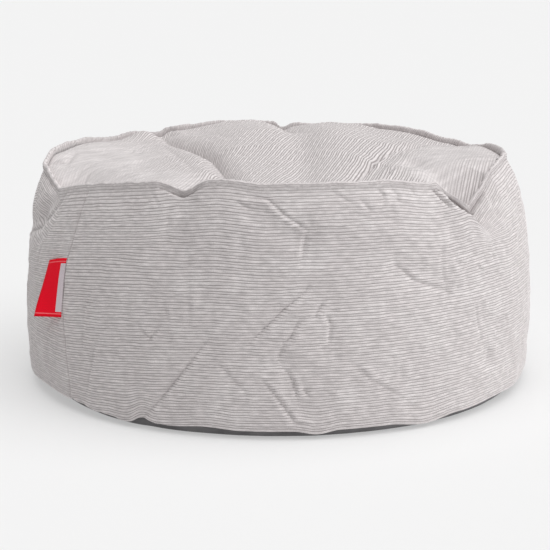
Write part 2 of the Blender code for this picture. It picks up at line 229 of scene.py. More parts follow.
# Broad troughs across the band
Fold = namedtuple("Fold", "angle height to_angle to_height depth width")
SIDE_FOLDS = (
    Fold(-64.0, 0.318, -69.0, 0.275, 0.006, 0.016),
    Fold(-69.0, 0.275, -86.0, 0.240, 0.005, 0.016),
    Fold(-21.5, 0.330, -23.0, 0.268, 0.005, 0.022),
    Fold(-6.0, 0.325, 6.0, 0.280, 0.004, 0.018),
    Fold(5.5, 0.211, -7.0, 0.132, 0.0035, 0.018),
    Fold(9.5, 0.195, 10.0, 0.135, 0.003, 0.018),
    Fold(0.5, 0.123, 4.0, 0.050, 0.003, 0.018),
    Fold(-14.5, 0.138, -29.0, 0.018, 0.005, 0.020),
    Fold(24.5, 0.246, 37.0, 0.198, 0.004, 0.020),
    Fold(-44.5, 0.180, -45.5, 0.090, 0.003, 0.018),
    Fold(49.0, 0.150, 50.5, 0.085, 0.004, 0.020),
    Fold(100.0, 0.300, 112.0, 0.190, 0.006, 0.028),
    Fold(132.0, 0.200, 148.0, 0.090, 0.006, 0.028),
    Fold(165.0, 0.310, 176.0, 0.220, 0.006, 0.028),
    Fold(-158.0, 0.240, -172.0, 0.120, 0.006, 0.028),
    Fold(-143.0, 0.335, -134.0, 0.250, 0.006, 0.026),
    Fold(-120.0, 0.180, -108.0, 0.070, 0.006, 0.028),
    Fold(-97.0, 0.300, -93.0, 0.220, 0.005, 0.026),
)

# The facet inside the left pinch: its lower edge as (angle, height) points, the angles that it lies
# between, how much painted shade it has, how far from the edge, and how strongly stripes of painted
# shade in its grooves and painted light on its ribs mark it
FACET_EDGE = (
    (-60.0, 0.326),
    (-61.6, 0.302),
    (-64.0, 0.277),
    (-68.6, 0.256),
    (-76.0, 0.242),
    (-88.0, 0.236),
)
FACET_FROM, FACET_TO = -100.0, -58.0
FACET_SHADE, FACET_REACH = 0.70, 0.030
FACET_STRIPES, GROOVE_SIDES = 1.1, 0.83
STRIPE_DARK, STRIPE_LIGHT = 1.0, -0.4

# Sharp creases of the band: the path as (angle, height) points, the depth, the half width, and
# how high the cloth stands beside the crease, on its left where positive and its right where negative
Crease = namedtuple("Crease", "path depth width stand")
SIDE_CREASE_STRENGTH = 1.25
# The crease relief in metres that gives full painted shade in a trough and full painted light where the
# cloth stands beside it, on the band and on the top
SIDE_CREASE_DARK, TOP_CREASE_DARK = 0.0065, 0.0060
SIDE_CREASES = (
    Crease(((-6.5, 0.342), (-2.0, 0.336), (1.3, 0.317), (6.4, 0.295)), 0.0018, 0.0024, -0.9),
    Crease(((6.0, 0.294), (5.3, 0.272), (4.8, 0.252)), 0.0026, 0.0026, -0.5),
    Crease(((-8.8, 0.333), (-6.2, 0.325)), 0.0020, 0.0026, 0.6),
    Crease(((6.4, 0.222), (5.3, 0.211), (1.3, 0.189), (-1.3, 0.171), (-5.7, 0.140)),
           0.0024, 0.0030, 0.6),
    Crease(((9.3, 0.199), (7.4, 0.177)), 0.0022, 0.0026, 0.5),
    Crease(((9.7, 0.180), (10.6, 0.165), (10.2, 0.139)), 0.0026, 0.0028, -0.6),
    Crease(((4.5, 0.175), (2.6, 0.150), (1.3, 0.142)), 0.0024, 0.0028, 0.6),
    Crease(((1.3, 0.142), (0.2, 0.123), (0.5, 0.110)), 0.0022, 0.0026, -0.4),
    Crease(((1.7, 0.102), (3.0, 0.087), (4.2, 0.057)), 0.0026, 0.0028, 0.6),
    Crease(((5.1, 0.075), (6.3, 0.065)), 0.0020, 0.0026, 0.5),
    Crease(((-2.9, 0.088), (0.2, 0.060), (3.4, 0.026), (6.0, 0.023)), 0.0024, 0.0030, 0.6),
    Crease(((-12.0, 0.113), (-5.9, 0.065)), 0.0014, 0.0034, 0.5),
    Crease(((15.5, 0.108), (18.8, 0.084), (24.2, 0.061), (26.7, 0.050)), 0.0013, 0.0034, 0.5),
    Crease(((-23.0, 0.184), (-22.0, 0.160)), 0.0016, 0.0030, 0.5),
    Crease(((-29.0, 0.152), (-25.3, 0.133)), 0.0018, 0.0030, 0.5),
    Crease(((-44.8, 0.177), (-42.3, 0.169)), 0.0016, 0.0030, -0.5),
    Crease(((52.4, 0.238), (53.0, 0.228)), 0.0022, 0.0026, 0.4),
    Crease(((46.3, 0.227), (47.8, 0.217)), 0.0016, 0.0026, 0.4),
    Crease(((40.3, 0.236), (42.2, 0.233)), 0.0016, 0.0024, 0.4),
    Crease(((51.1, 0.099), (51.2, 0.086)), 0.0018, 0.0026, 0.4),
    Crease(((53.7, 0.126), (54.0, 0.113)), 0.0018, 0.0026, 0.4),
    Crease(((57.9, 0.137), (58.2, 0.119)), 0.0018, 0.0028, 0.4),
    Crease(((69.0, 0.078), (70.3, 0.062)), 0.0016, 0.0030, 0.4),
    Crease(((24.8, 0.243), (29.4, 0.217), (36.6, 0.200)), 0.0022, 0.0032, 0.5),
    Crease(((37.0, 0.277), (36.2, 0.233), (37.9, 0.186)), 0.0014, 0.0036, 0.4),
    Crease(((45.7, 0.170), (46.9, 0.140), (47.9, 0.115)), 0.0014, 0.0030, 0.5),
    Crease(((58.0, 0.137), (53.2, 0.126)), 0.0018, 0.0030, 0.4),
    Crease(((-14.8, 0.136), (-19.5, 0.094), (-25.6, 0.042), (-28.9, 0.018)), 0.0024, 0.0034, 0.6),
    Crease(((-24.0, 0.158), (-27.1, 0.134)), 0.0020, 0.0028, 0.5),
    Crease(((-44.7, 0.172), (-45.6, 0.096)), 0.0016, 0.0034, 0.4),
    Crease(((-40.3, 0.127), (-43.5, 0.055), (-44.9, 0.027)), 0.0018, 0.0034, 0.4),
    Crease(((-64.5, 0.240), (-65.9, 0.204)), 0.0018, 0.0030, 0.4),
    Crease(((-56.1, 0.134), (-58.8, 0.111)), 0.0018, 0.0030, 0.4),
    Crease(((-18.1, 0.260), (-17.7, 0.156)), 0.0012, 0.0040, 0.6),
    Crease(((-24.4, 0.325), (-23.3, 0.272)), 0.0010, 0.0050, 1.2),
    Crease(((22.8, 0.345), (23.8, 0.338), (23.3, 0.322)), 0.0018, 0.0028, 0.6),
    Crease(((25.9, 0.345), (27.2, 0.335), (26.9, 0.322)), 0.0016, 0.0028, -0.5),
    Crease(((31.2, 0.345), (32.0, 0.333)), 0.0016, 0.0028, 0.5),
    Crease(((37.2, 0.342), (39.0, 0.326), (40.9, 0.312)), 0.0036, 0.0028, 0.9),
    Crease(((12.1, 0.345), (15.6, 0.332)), 0.0013, 0.0030, 0.4),
    Crease(((17.8, 0.336), (20.1, 0.318)), 0.0014, 0.0030, -0.5),
    Crease(((25.2, 0.336), (28.7, 0.323)), 0.0012, 0.0030, 0.4),
    Crease(((-28.7, 0.337), (-26.6, 0.321)), 0.0016, 0.0030, 0.5),
    Crease(FACET_EDGE, 0.0030, 0.0036, 0.4),
)

# A crease's section and ends: how sharp the trough is, where the cloth stands beside it and how widely,
# in half widths, how high it stands on the other side, and how fast the ends taper
CREASE_SHARPNESS, CREASE_TAPER = 1.4, 0.35
STAND_PLACE, STAND_WIDTH, FAR_STAND = 1.9, 1.5, 0.25
CREASE_REACH = 5

# The deep fold beside the right-hand pinch, and the height of its edge by angle. The ribs of the
# pinch's far side run on under it at the slope in WING_SLOPE, in metres for each degree.
TUCK_FROM, TUCK_MIDDLE = 38.5, 52.8
TUCK_EDGE = (
    (37.0, 0.3500),
    (39.5, 0.3401),
    (41.6, 0.3196),
    (43.2, 0.3128),
    (46.7, 0.3002),
    (50.0, 0.2832),
    (53.0, 0.2740),
)
WING_SLOPE, WING_WIDTH = 0.0046, 8.0
WING_BLEND = 0.002
POCKET_REPEATS = 0.75
TUCK_OPENS, TUCK_CLOSES = 2.0, 1.5
TUCK_LEAST = 0.02
TUCK_SQUEEZE = 0.0006
TUCK_BLEND = 0.003
TUCK_IN = 0.008
TUCK_BULGE = 0.0050
TUCK_BULGE_REACH = 0.018

# Between these angles, where the rim dips by more than the first drop, the cloth gathers under it, and
# fully so where it dips by a further one
GATHERED_FROM, GATHERED_TO = -35.0, 58.0
GATHER_DROP, GATHER_MORE = 0.006, 0.014

# Soft shade over the upper front, and the share of the height where it sets in
UPPER_FRONT_SHADES = (
    Wave(8.0, 60.0, 0.30),
)
UPPER_FROM, UPPER_OVER = 0.62, 0.20

# High parts of the top, and its soft valleys: a path, then the width on its left and on its right
Lobe = namedtuple("Lobe", "x y half_x half_y height")
LOBES = (
    Lobe(-0.290, -0.150, 0.090, 0.120, -0.006),
    Lobe(-0.243, 0.232, 0.048, 0.045, 0.012),
    Lobe(-0.045, 0.150, 0.080, 0.200, 0.026),
    Lobe(0.095, 0.100, 0.080, 0.220, 0.026),
    Lobe(0.245, -0.125, 0.085, 0.130, 0.010),
    Lobe(0.280, 0.030, 0.070, 0.100, 0.004),
)
Valley = namedtuple("Valley", "path depth width_left width_right")
VALLEYS = (
    Valley(((-0.217, 0.330), (-0.190, 0.230), (-0.157, 0.115), (-0.126, 0.045), (-0.100, -0.030),
            (-0.087, -0.100), (-0.070, -0.210), (-0.056, -0.340)), 0.016, 0.014, 0.028),
    Valley(((-0.200, 0.170), (-0.176, 0.095), (-0.141, 0.009), (-0.118, -0.080), (-0.100, -0.190)),
           -0.005, 0.024, 0.016),
    Valley(((0.012, 0.350), (0.020, 0.180)), 0.010, 0.026, 0.026),
    Valley(((0.030, 0.240), (0.040, 0.000), (0.038, -0.330)), 0.007, 0.026, 0.030),
    Valley(((0.222, 0.090), (0.180, -0.005), (0.141, -0.165), (0.106, -0.320)), 0.008, 0.020, 0.020),
    Valley(((0.273, -0.226), (0.205, -0.130)), 0.010, 0.026, 0.026),
    Valley(((-0.131, -0.333), (-0.112, -0.240)), 0.008, 0.028, 0.028),
    Valley(((0.320, 0.165), (0.270, 0.150)), 0.007, 0.028, 0.028),
)

# Where the top's pile lies pressed nearly flat, and how much of the ribs it hides
Pressed = namedtuple("Pressed", "x y half_x half_y amount")
PRESSED = (
    Pressed(-0.280, -0.050, 0.115, 0.260, 0.86),
    Pressed(-0.165, -0.240, 0.070, 0.090, 0.70),
    Pressed(0.295, 0.000, 0.090, 0.180, 0.80),
    Pressed(0.225, -0.160, 0.055, 0.110, 0.75),
)
PRESSED_SHADE = 0.22

# Fine wrinkles of the pressed parts: relief with a bump for each step along and across, drawn aslant,
# and streaks of painted shade at an angle to the front
WRINKLE_HEIGHT, WRINKLE_ALONG, WRINKLE_ACROSS, WRINKLE_SLANT = 0.0010, 0.055, 0.0075, 0.5
WRINKLE_ANGLE = 38.0

# How far inside the rim the top's creases and its ribs are full, and how fast the painted shade along
# its edge by the seam fades
TOP_CREASES_FROM, TOP_RIBS_FROM, TOP_EDGE_DARK = 0.012, 0.004, 0.003

# Sharp creases of the top, as (x, y) points
TOP_CREASES = (
    Crease(((-0.209, 0.300), (-0.190, 0.230), (-0.157, 0.115), (-0.126, 0.045), (-0.100, -0.030),
            (-0.087, -0.100), (-0.070, -0.210), (-0.058, -0.320)), 0.0060, 0.0050, 0.3),
    Crease(((-0.190, 0.100), (-0.168, 0.010), (-0.145, -0.080), (-0.123, -0.180)), 0.0012, 0.0055, -0.6),
    Crease(((0.105, -0.320), (0.122, -0.225), (0.139, -0.150), (0.160, -0.070), (0.184, 0.010),
            (0.214, 0.060)), 0.0060, 0.0042, -0.45),
    Crease(((0.132, -0.290), (0.155, -0.235), (0.183, -0.150)), 0.0030, 0.0045, -0.6),
    Crease(((0.186, -0.060), (0.205, 0.000), (0.240, 0.060)), 0.0030, 0.0045, -0.6),
    Crease(((0.020, 0.250), (0.016, 0.330)), 0.0040, 0.0060, 0.3),
    Crease(((-0.326, -0.225), (-0.307, -0.169), (-0.290, -0.120)), 0.0034, 0.0034, 0.6),
    Crease(((-0.304, -0.192), (-0.288, -0.172), (-0.261, -0.170)), 0.0024, 0.0045, 0.5),
    Crease(((-0.278, -0.172), (-0.250, -0.139), (-0.213, -0.151)), 0.0020, 0.0060, 0.5),
    Crease(((-0.313, -0.118), (-0.296, -0.092), (-0.282, -0.066)), 0.0020, 0.0045, 0.5),
    Crease(((-0.287, -0.115), (-0.258, -0.106), (-0.219, -0.076), (-0.178, -0.026)), 0.0016, 0.0070, 0.5),
    Crease(((-0.263, -0.195), (-0.222, -0.190)), 0.0010, 0.0060, 0.5),
    Crease(((-0.241, 0.018), (-0.233, 0.071), (-0.223, 0.106), (-0.208, 0.111)), 0.0020, 0.0055, 0.5),
    Crease(((-0.232, 0.000), (-0.220, 0.050), (-0.192, 0.055)), 0.0019, 0.0055, 0.5),
    Crease(((-0.328, 0.091), (-0.316, 0.126)), 0.0022, 0.0055, 0.5),
    Crease(((-0.332, -0.064), (-0.325, 0.028)), 0.0026, 0.0055, 0.5),
    Crease(((-0.296, 0.049), (-0.281, 0.073)), 0.0022, 0.0055, 0.5),
    Crease(((-0.354, -0.040), (-0.336, -0.026)), 0.0070, 0.0080, 0.2),
)

# The standing seam's outline, as shares of half its thickness outwards and of its height, and the run
# of cloth for each stitch
SEAM_OUTLINE = (
    (-0.90, -0.10),
    (0.80, -0.15),
    (1.25, 0.02),
    (1.00, 0.16),
    (1.22, 0.30),
    (1.15, 0.42),
    (0.80, 0.52),
    (1.00, 0.64),
    (0.85, 0.80),
    (0.50, 0.94),
    (0.00, 1.00),
    (-0.50, 0.95),
    (-0.90, 0.80),
    (-1.00, 0.55),
    (-0.80, 0.30),
)
SEAM_COLUMNS = 1800
SEAM_STITCH = 0.020
STITCH_LIFT, SEAM_FRAY = 0.0009, 0.0006

# Where the seam is squashed, as a share of its height, and its painted shade by angle, inside and outside,
# with painted light where negative. The outer face has a little painted shade and the crest a little
# painted light all round.
SEAM_SQUASHED = (
    Wave(46.0, 9.0, 0.55),
)
INNER_SEAM_SHADES = (
    Wave(-130.0, 60.0, 0.75),
    Wave(-146.0, 6.0, 0.85),
    Wave(178.5, 7.0, 0.70),
    Wave(50.0, 12.0, 0.80),
    Wave(-21.5, 8.0, 0.30),
    Wave(128.0, 24.0, -0.40),
)
OUTER_SEAM_SHADES = (
    Wave(47.0, 9.0, 0.95),
    Wave(-21.5, 9.0, 0.55),
)
FACE_SHADE, CREST_SHADE = 0.18, -0.10

# The base cloth: its flat rings' radii, then its turned-up lip as rows of a share of the curl, a share
# of the hem's height, and how much it puckers
BASE_RINGS = (0.02, 0.18, 0.34)
BASE_LIP = (
    (0.00, 0.00, 0.0),
    (0.35, 0.06, 0.4),
    (0.70, 0.30, 1.0),
    (0.90, 0.65, 1.0),
    (1.00, 1.00, 0.6),
    (0.92, 1.15, 0.0),
)
BASE_PUCKER = 0.0012

# The tag: its angles, its place on the band, its lift off it in degrees, its free corner's droop, and
# its pale strip and lines
LABEL_ANGLE_TOP = -50.9
LABEL_ANGLE_FOOT = -52.2
LABEL_TOP = 0.2315
LABEL_LENGTH = 0.0895
LABEL_WIDTH = 0.0405
LABEL_THICKNESS = 0.0012
LABEL_STANDOFF = 0.0012
LABEL_LIFT_TOP = 9.0
LABEL_LIFT_FOOT = 42.0
LABEL_DROOP = 0.0085
LABEL_WAVE = 0.0010
LABEL_ROWS, LABEL_COLUMNS = 24, 10
LABEL_SELVEDGE = 0.0095
LABEL_BORDER = 0.0050
LABEL_LINE = 0.0007
LABEL_LINE_GAP = 0.003

# Colours of the pile, its grooves, which are painted shade, and its worn parts, of the base cloth and of
# the tag. The top's grooves have darker, wider painted shade, and its pile is lighter to make up for it.
PILE = (0.700, 0.657, 0.655, 1.0)
TOP_PILE = (0.770, 0.726, 0.724, 1.0)
GROOVE = (0.400, 0.362, 0.362, 1.0)
TOP_GROOVE = (0.290, 0.258, 0.258, 1.0)
WORN = (0.820, 0.782, 0.778, 1.0)
BASE_DARK = (0.105, 0.101, 0.104, 1.0)
BASE_PALE = (0.165, 0.160, 0.163, 1.0)
LABEL_RED = (0.80, 0.004, 0.020, 1.0)
LABEL_LINES = (0.90, 0.16, 0.18, 1.0)
LABEL_PALE = (0.62, 0.55, 0.58, 1.0)

# How often the cloths' fine patterns come, along three axes: streaks and tufts in a metre of run and in
# a repeat, wrinkles and threads in a metre of cloth, and the others in a metre of the pouf
STREAK_SCALE = (75.0, 1.8, 0.0)
TUFT_SCALE = (700.0, 6.0, 0.0)
PATCH_SCALE = (22.0, 22.0, 34.0)
FUZZ_SCALE = (1400.0, 1400.0, 1400.0)
WRINKLE_SCALE = (0.0, 16.0, 150.0)
CLOUD_SCALE = (18.0, 18.0, 40.0)
WEAVE_SCALE = (900.0, 900.0, 900.0)
THREAD_SCALE = (2600.0, 500.0, 0.0)

# The photograph's camera, fitted to the pouf's outline, in its 550 pixel square frame
FRAME_PIXELS = 550
FOCAL_PIXELS = 1640.93
CAMERA_PLACE = (-0.0038, -2.6, 0.7067)
CAMERA_DOWN = 12.0255
SENSOR = 36.0

# The studio: a soft sun overhead, a weaker one from the right without shadows, and a pale floor
Lamp = namedtuple("Lamp", "name toward strength spread shadows")
LAMPS = (
    Lamp("key", (0.22, -0.20, 0.95), 2.40, 80.0, True),
    Lamp("side", (1.00, -0.10, 0.25), 1.20, 60.0, False),
)
WHITE = (1.0, 1.0, 1.0, 1.0)
FLOOR_GREY = (0.47, 0.47, 0.47, 1.0)
FLOOR_GLOW = 0.37
FLOOR_HALF = 60.0
WORLD_LIGHT = 0.30

NOISE = np.random.default_rng(11).uniform(-1, 1, (128, 128))


def noise(x, y):
    """Smooth noise between -1 and 1, with about one bump for each unit."""
    x, y = np.broadcast_arrays(np.asarray(x, float), np.asarray(y, float))
    low_x, low_y = np.floor(x).astype(int), np.floor(y).astype(int)
    fx, fy = x - low_x, y - low_y
    fx, fy = fx * fx * (3 - 2 * fx), fy * fy * (3 - 2 * fy)
    corner = [[NOISE[(low_x + i) % 128, (low_y + j) % 128] for j in (0, 1)] for i in (0, 1)]
    low = corner[0][0] * (1 - fx) + corner[1][0] * fx
    high = corner[0][1] * (1 - fx) + corner[1][1] * fx
    return low * (1 - fy) + high * fy


def ripples(x, y, table):
    """Height of a table's ripples at a place."""
    return sum(r.height * noise(x / r.across + r.start, y / r.up) for r in table)


def smooth(x):
    """0 up to 0, 1 from 1 on, and a smooth rise between."""
    x = np.clip(x, 0, 1)
    return x * x * (3 - 2 * x)


def cos_hump(x):
    """1 at 0, falling smoothly to 0 at -1 and 1."""
    return np.where(np.abs(x) < 1.0, np.cos(np.pi * np.clip(x, -1, 1) / 2) ** 2, 0.0)


def turned(angle, centre):
    """The angle from centre to angle, between -180 and 180 degrees."""
    return (np.asarray(angle, float) - centre + 180.0) % 360.0 - 180.0


def smooth_table(x, table):
    """A smooth curve through a table's rows that doesn't overshoot them."""
    xs, ys = np.array(table, float).T
    slopes = np.diff(ys) / np.diff(xs)
    before, after = slopes[:-1], slopes[1:]
    same_way = before * after > 0
    inner = np.where(same_way, 2 * before * after / np.where(same_way, before + after, 1), 0)
    ends = np.concatenate([[slopes[0]], inner, [slopes[-1]]])
    i = np.clip(np.searchsorted(xs, x, side="right") - 1, 0, len(xs) - 2)
    width = xs[i + 1] - xs[i]
    t = np.clip((x - xs[i]) / width, 0, 1)
    rest = 1 - t
    value = ys[i] * (1 + 2 * t) * rest**2 + ys[i + 1] * (1 + 2 * rest) * t**2
    return value + width * (ends[i] * t * rest**2 - ends[i + 1] * rest * t**2)


def waves(angle, table):
    return sum(w.height * cos_hump(turned(angle, w.angle) / w.width) for w in table)


def pinch_shape(angle, pinch, share=1.0):
    """How much of a pinch acts at an angle, from 0 to 1, at a share of the band's height."""
    away = turned(angle, pinch.angle + smooth_table(share, pinch.lean))
    x = away / np.where(away < 0, pinch.width_before, pinch.width_after)
    pointed = pinch.pointed * smooth((np.asarray(share) - 0.45) / 0.3)
    return (1 - pointed) * cos_hump(x) + pointed * np.clip(1 - np.abs(x), 0, 1)


def rim_height(angle):
    return RIM_HEIGHT + waves(angle, RIM_WAVES) - sum(p.drop * pinch_shape(angle, p) for p in PINCHES)


def rim_radius(angle):
    return RIM_RADIUS + waves(angle, RIM_BULGES) - sum(p.tuck * pinch_shape(angle, p) for p in PINCHES)


def seam_foot(angle):
    return rim_height(angle) - SEAM_HEIGHT


def hem_height(angle):
    return HEM_HEIGHT + waves(angle, HEM_WAVES)


def placed(angle, radius, height):
    """Points of the pouf at an angle, a radius and a height."""
    turn = np.radians(angle)
    return np.stack(np.broadcast_arrays(radius * np.sin(turn), -radius * np.cos(turn), height), axis=-1)


def nearest_on_path(x, y, path):
    """Distance to a path of straight runs, the side it is on, and the share of its length there."""
    path = np.array(path, float)
    runs = np.diff(path, axis=0)
    lengths = np.hypot(*runs.T)
    starts = np.concatenate([[0], np.cumsum(lengths)])
    best = np.full(np.shape(x), np.inf)
    side = np.zeros(np.shape(x))
    along = np.zeros(np.shape(x))
    for start, run, length, before in zip(path, runs, lengths, starts):
        share = ((x - start[0]) * run[0] + (y - start[1]) * run[1]) / length**2
        clipped = np.clip(share, 0, 1)
        dx, dy = x - start[0] - clipped * run[0], y - start[1] - clipped * run[1]
        away = np.hypot(dx, dy)
        nearer = away < best
        best = np.where(nearer, away, best)
        side = np.where(nearer, np.sign(run[0] * dy - run[1] * dx), side)
        along = np.where(nearer, (before + clipped * length) / starts[-1], along)
    return best, side, along


def crease_relief(x, y, creases):
    """Height of the cloth's sharp creases at points of a plane in metres."""
    relief = np.zeros(np.shape(x))
    for c in creases:
        path = np.array(c.path)
        reach = CREASE_REACH * c.width
        near = (x > path[:, 0].min() - reach) & (x < path[:, 0].max() + reach)
        near &= (y > path[:, 1].min() - reach) & (y < path[:, 1].max() + reach)
        if not near.any():
            continue
        away, side, along = nearest_on_path(x[near], y[near], path)
        taper = np.sin(np.pi * np.clip(along, 0.02, 0.98)) ** CREASE_TAPER
        trough = np.exp(-((away / c.width) ** CREASE_SHARPNESS))
        beside = np.exp(-(((away / c.width - STAND_PLACE) / STAND_WIDTH) ** 2))
        lifted = abs(c.stand) * np.where(side * np.sign(c.stand) > 0, 1, FAR_STAND)
        relief[near] += c.depth * taper * (lifted * beside - trough)
    return relief


def unrolled(path):
    """A path on the band with its angles as metres round the belly."""
    return [(a * ARC, h) for a, h in path]


def side_folds(angle, height):
    """Depth of the band's broad troughs."""
    depth = 0.0
    for f in SIDE_FOLDS:
        x = turned(angle, f.angle) * ARC
        end = (turned(f.to_angle, f.angle) * ARC, f.to_height)
        away, _, _ = nearest_on_path(x, height, ((0.0, f.height), end))
        depth = depth + f.depth * np.exp(-((away / f.width) ** 2))
    return depth


def wall_radius(angle, share, height):
    """Radius of the band's cloth, without its ribs and creases, which meets the rim seam's outer face."""
    profile = smooth_table(share, WALL_PROFILE) * BELLY_RADIUS + waves(angle, BELLY_WAVES)
    top_radius = rim_radius(angle) + SEAM_THICKNESS / 2
    pulled = top_radius - WALL_PROFILE[-1].radius * BELLY_RADIUS
    fade = np.clip(share, 0, 1) ** 6
    away_from_edges = np.clip(share * 8, 0, 1) * np.clip((1 - share) * 12, 0, 1)
    return profile + pulled * fade - side_folds(angle, height) * away_from_edges


def band_height(angle, rib):
    """Height of a rib of the band at an angle, how far it is hidden in a tuck, from 0 to 1, and the
    height of the tuck's edge."""
    share = rib / REPEATS
    from_foot = REPEATS - rib
    hem, foot = hem_height(angle), seam_foot(angle)
    level_foot = RIM_HEIGHT - SEAM_HEIGHT
    pitch = (level_foot - HEM_HEIGHT) / REPEATS
    height = HEM_HEIGHT + (level_foot - HEM_HEIGHT) * share
    height = height + (hem - HEM_HEIGHT) * (1 - smooth(share / HEM_WAVES_TO))
    height = height + waves(angle, RIM_WAVES) * smooth((share - RIM_WAVES_FROM) / (1 - RIM_WAVES_FROM))
    for p in PINCHES:
        drop = p.drop * pinch_shape(angle, p, share) * smooth((share - p.follow) / (1 - p.follow))
        if p.tucked:
            in_wing = p.angle == TUCK_MIDDLE
            drop = drop * (smooth((angle - TUCK_MIDDLE) / WING_WIDTH + 1) if in_wing else 0.0)
        height = height - drop
    open_tuck = smooth((angle - TUCK_FROM) / TUCK_OPENS) * (angle < TUCK_MIDDLE)
    in_tuck = open_tuck > TUCK_LEAST
    edge = foot - (foot - np.minimum(smooth_table(angle, TUCK_EDGE), foot)) * open_tuck
    wing = seam_foot(TUCK_MIDDLE) - (TUCK_MIDDLE - angle) * WING_SLOPE - from_foot * pitch
    squeezed = edge - from_foot * TUCK_SQUEEZE
    lower = np.where(in_tuck, np.maximum(squeezed, wing), squeezed)
    pocket = np.clip(1 - from_foot / POCKET_REPEATS, 0, 1) * in_tuck
    limit = lower + (foot - lower) * pocket
    past_edge = smooth((height - squeezed) / TUCK_BLEND)
    above_wing = smooth((squeezed - wing) / WING_BLEND + 1)
    hidden = np.where(in_tuck, np.maximum(past_edge * above_wing, smooth(pocket * 2)), past_edge)
    hidden = hidden * smooth((TUCK_MIDDLE + 0.5 - angle) / TUCK_CLOSES)
    return np.minimum(height, limit), hidden, edge


def cut_by_hem(angle, rib):
    """How far up the right-hand panel each rib lies, in repeats, and the rib that shows there."""
    cut = smooth_table(angle, HEM_CUT) * (1 - smooth((rib - CUT_FADE_FROM) / CUT_FADE_OVER))
    return np.maximum(rib - cut, CUT_SQUEEZE * rib), np.maximum(rib, cut)


def band_grid(angles, ribs):
    """The band's points over columns of angles and rows along its ribs, its normals, and each
    point's place in the cloth: its run, its rib, and its shade from -1 for bright to 1 for dark."""
    angle, rib = np.meshgrid(angles, ribs)
    row = rib
    if angles[0] == RIGHT_COLUMNS.start:
        row, rib = cut_by_hem(angle, rib)
    seam = np.minimum(*(np.abs(turned(angle, a)) * ARC for a in SEAM_ANGLES))
    from_front_seam = turned(angle, SEAM_ANGLES[0]) * ARC / SEAM_SWAY_REACH
    angle = angle + smooth_table(row / REPEATS, SEAM_SWAY) * np.exp(-(from_front_seam**2))
    wander = ripples(angle, rib, RIB_WANDER)
    wander *= np.clip(row / 1.5, 0, 1) * np.clip((REPEATS - row) / 1.5, 0, 1)
    height, hidden, edge = band_height(angle, row + wander)
    share = row / REPEATS
    radius = wall_radius(angle, share, height) - TUCK_IN * hidden
    dip = RIM_HEIGHT - SEAM_HEIGHT - seam_foot(angle)
    gathered = smooth((dip - GATHER_DROP) / GATHER_MORE) * (angle > GATHERED_FROM) * (angle < GATHERED_TO)
    below = np.clip((edge - height) / TUCK_BULGE_REACH, 0, 9)
    radius += TUCK_BULGE * gathered * (1 - hidden) * np.exp(-below)
    creases = [c._replace(path=unrolled(c.path)) for c in SIDE_CREASES]
    creased = crease_relief(turned(angle, 0.0) * ARC, height, creases) * SIDE_CREASE_STRENGTH
    slack = np.clip(share * 10, 0, 1) * np.clip((1 - share) * 10, 0, 1)
    radius += creased + slack * ripples(angle, height, SIDE_SLACK)
    radius -= SEAM_DEPTH * np.exp(-((seam / SEAM_WIDTH) ** 2))
    beside = np.exp(-(((seam - SEAM_PUFF_PLACE) / SEAM_PUFF_WIDTH) ** 2))
    radius += SEAM_PUFF * beside * noise(0.0, height / 0.009 + 5)
    points = placed(angle, radius, height)
    strength = (1 - 0.9 * hidden) * np.clip(seam / SEAM_RIBS_FROM, 0.15, 1)
    strength *= 1 + 0.18 * noise(angle / 1.4 + 3, rib / 0.6 + 8)
    points += grid_normals(points) * (RIB_RELIEF * rib_profile(rib) * strength)[..., None]
    # Painted shade in the tucks, in the creases' troughs, along the upright seams, under the rim seam, in
    # the facet and over the upper front, with painted light where the cloth stands beside a crease
    shade = 0.9 * hidden - creased / SIDE_CREASE_DARK + SEAM_DARK * np.exp(-((seam / SEAM_DARK_WIDTH) ** 2))
    shade += rim_shade(angle, height, gathered) + facet_shade(angle, rib, height)
    shade += waves(angle, UPPER_FRONT_SHADES) * smooth((share - UPPER_FROM) / UPPER_OVER)
    return points, grid_normals(points), np.stack([angle * ARC, rib, np.clip(shade, -1, 1)], axis=-1)


def rim_shade(angle, height, gathered):
    """Ragged line of painted shade under the rim seam, deeper where the cloth is gathered."""
    below = seam_foot(angle) - height
    line = np.exp(-below / (0.0015 + 0.0025 * gathered)) * (below < 0.02)
    return line * (0.5 + 0.6 * gathered) * (1 + 0.7 * noise(angle / 0.9, 31.5))


def facet_shade(angle, rib, height):
    """Painted shade of the facet inside the left pinch, with stripes of painted shade in its grooves and
    painted light on its ribs.
    """
    away, side, _ = nearest_on_path(turned(angle, 0.0) * ARC, height, unrolled(FACET_EDGE))
    in_facet = (side < 0) & (angle > FACET_FROM) & (angle < FACET_TO)
    stripes = np.where(rib_profile(rib) < GROOVE_SIDES, STRIPE_DARK, STRIPE_LIGHT)
    return in_facet * (FACET_SHADE * np.exp(-((away / FACET_REACH) ** 2)) + FACET_STRIPES * stripes)


def rib_profile(rib):
    """Height of the pile at a place in a repeat: a wide rib, then a narrow one, and 0 in the grooves."""
    place = rib % 1.0
    wide = place < WIDE_SHARE
    share = np.where(wide, place / WIDE_SHARE, (place - WIDE_SHARE) / (1 - WIDE_SHARE))
    power = np.where(wide, WIDE_FLATNESS, NARROW_FLATNESS)
    return np.where(wide, 1.0, NARROW_HEIGHT) * (1 - np.abs(2 * share - 1) ** power)


def grid_normals(points):
    """Outward normals of a grid whose rows go up and whose columns go anticlockwise."""
    across = np.gradient(points, axis=1)
    up = np.gradient(points, axis=0)
    normals = np.cross(across, up)
    return normals / np.maximum(np.linalg.norm(normals, axis=-1, keepdims=True), 1e-12)


